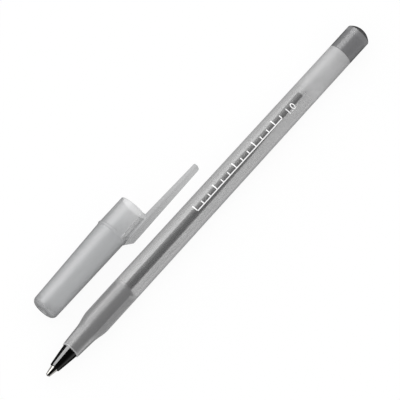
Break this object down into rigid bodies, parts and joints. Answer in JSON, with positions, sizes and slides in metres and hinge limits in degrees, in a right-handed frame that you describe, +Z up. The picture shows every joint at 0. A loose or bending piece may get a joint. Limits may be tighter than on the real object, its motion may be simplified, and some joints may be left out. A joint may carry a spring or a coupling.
{
  "type": "stick ballpoint pen",
  "caption": "Slim stick ballpoint pen with a frosted barrel, black nose cone, metal ball point and smoke end plug; its vented cap with pocket clip lies beside it. Ball rolls, cap slides.",
  "frame": {"origin": "middle of the footprint of pen and cap, on the table they lie on", "axes": "+X along the pen from its ball to its end plug, +Y from the pen towards the cap, +Z up from the table"},
  "size_m": [0.145, 0.024, 0.0103],
  "materials": {
    "frosted_barrel": "grey-tinted translucent plastic, finely frosted",
    "smoke_plug": "smoke-grey translucent plastic, polished",
    "black_nose": "black plastic, polished",
    "nickel_silver": "turned nickel silver",
    "carbide_ball": "polished carbide",
    "clear_tube": "clear drawn plastic",
    "black_ink": "wet black paste ink",
    "frosted_cap": "grey-tinted translucent plastic, satin"
  },
  "bodies": {
    "pen": {"barrel": "frosted_barrel", "end_plug": "smoke_plug", "nose_cone": "black_nose", "ball_socket": "nickel_silver", "ink_tube": "clear_tube", "ink_column": "black_ink"},
    "ball": {"writing_ball": "carbide_ball"},
    "cap": {"cap": "frosted_cap"}
  },
  "joints": [
    {"name": "ball_roll", "type": "hinge", "parent": "pen", "child": "ball", "pos_m": [-0.072, -0.0078, 0.00422], "axis": [0, 1, 0], "continuous": true},
    {"name": "cap_slide", "type": "slide", "parent": "pen", "child": "cap", "axis": [-1, 0, 0], "range_m": [0, 0.085]}
  ]
}
